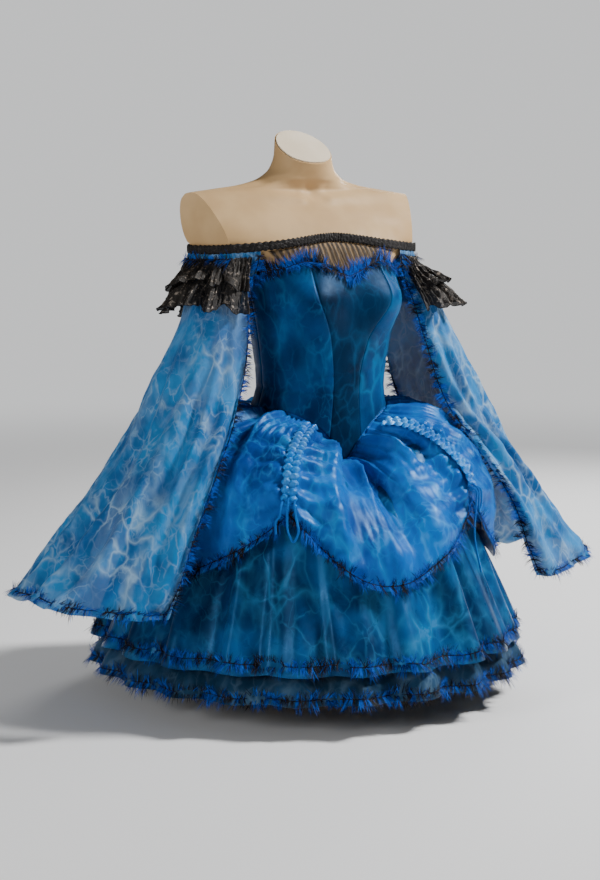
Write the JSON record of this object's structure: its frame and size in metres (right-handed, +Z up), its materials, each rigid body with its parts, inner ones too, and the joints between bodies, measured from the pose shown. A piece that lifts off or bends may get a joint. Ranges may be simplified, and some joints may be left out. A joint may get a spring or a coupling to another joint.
{
  "type": "off-shoulder dress on dress form",
  "caption": "Off-shoulder gown with ruffled bell sleeves, drawn-up fringed overskirt and layered skirt, standing on a limbless torso form",
  "frame": {"origin": "centre of the dress form's flat base, on the surface it stands on", "axes": "+X is the wearer's left and runs from sleeve to sleeve, +Y is the wearer's back, +Z is up"},
  "size_m": [1.13, 0.7639, 0.9717],
  "materials": {
    "cream_form": "cream satin stretched over a hard form",
    "teal_satin": "smooth dark teal satin with pale water-ripple veins",
    "bright_blue_organza": "crisp bright blue organza with pale water-ripple veins",
    "deep_blue_organza": "deep blue organza in soft folds",
    "sky_blue_organza": "sheer sky blue organza with whitish veins",
    "royal_blue_fringe": "frayed blue and black thread fringe",
    "charcoal_chiffon": "crinkled sheer charcoal chiffon"
  },
  "bodies": {
    "root": {"dress_form": "cream_form", "neck_cap": "cream_form", "neck_band": "charcoal_chiffon", "yoke_front": "charcoal_chiffon", "yoke_back": "charcoal_chiffon", "bodice_front_centre": "teal_satin", "bodice_side_front_left": "teal_satin", "bodice_side_front_right": "teal_satin", "bodice_back_left": "teal_satin", "bodice_back_right": "teal_satin", "overskirt_front": "bright_blue_organza", "overskirt_back": "bright_blue_organza", "skirt_front": "deep_blue_organza", "skirt_back": "deep_blue_organza", "flounce_front": "deep_blue_organza", "flounce_back": "deep_blue_organza", "casing_1": "bright_blue_organza", "casing_2": "bright_blue_organza", "casing_3": "bright_blue_organza", "casing_4": "bright_blue_organza", "casing_5": "bright_blue_organza", "drawstring_loop_1": "bright_blue_organza", "drawstring_loop_2": "bright_blue_organza", "drawstring_loop_3": "bright_blue_organza", "drawstring_tail_1": "bright_blue_organza", "drawstring_tail_2": "bright_blue_organza", "drawstring_tail_3": "bright_blue_organza", "sleeve_left": "sky_blue_organza", "sleeve_right": "sky_blue_organza", "ruffle_upper_left": "charcoal_chiffon", "ruffle_upper_right": "charcoal_chiffon", "ruffle_lower_left": "charcoal_chiffon", "ruffle_lower_right": "charcoal_chiffon", "fringe_neckline": "royal_blue_fringe", "fringe_shoulder_left": "royal_blue_fringe", "fringe_shoulder_right": "royal_blue_fringe", "fringe_sleeve_left": "royal_blue_fringe", "fringe_sleeve_right": "royal_blue_fringe", "fringe_overskirt_hem": "royal_blue_fringe", "fringe_skirt_hem": "royal_blue_fringe", "fringe_flounce_hem": "royal_blue_fringe"}
  },
  "joints": []
}
